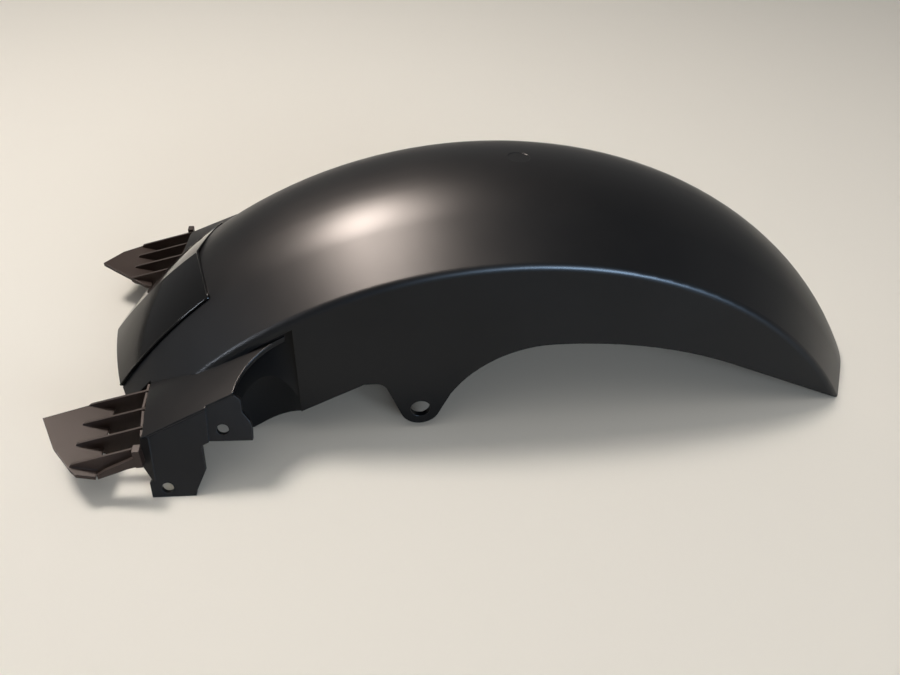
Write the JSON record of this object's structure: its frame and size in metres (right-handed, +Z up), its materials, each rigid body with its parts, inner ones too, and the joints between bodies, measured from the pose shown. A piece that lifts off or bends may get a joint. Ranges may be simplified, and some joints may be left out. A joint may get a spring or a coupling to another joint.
{
  "type": "motorcycle front mudguard",
  "caption": "Curved front mudguard with side walls, fork-leg recesses, hanging tabs, gloss nose insert, louvred corner winglets and two-hole fork brackets.",
  "frame": {"origin": "middle of the footprint on the plane the part stands on", "axes": "+X to the tail end, +Y across the wheel to the right side seen from the tail, +Z up; the wheel axis runs along Y"},
  "size_m": [0.5564, 0.2502, 0.1516],
  "materials": {
    "satin_black": "satin black paint on moulded plastic",
    "gloss_black": "gloss",
    "raw_plastic": "fine moulded grain",
    "bracket_black": "satin"
  },
  "bodies": {
    "root": {"shell": "satin_black", "nose_panel": "gloss_black", "winglet_left": "raw_plastic", "winglet_right": "raw_plastic", "bracket_left": "bracket_black", "bracket_right": "bracket_black"}
  },
  "joints": []
}
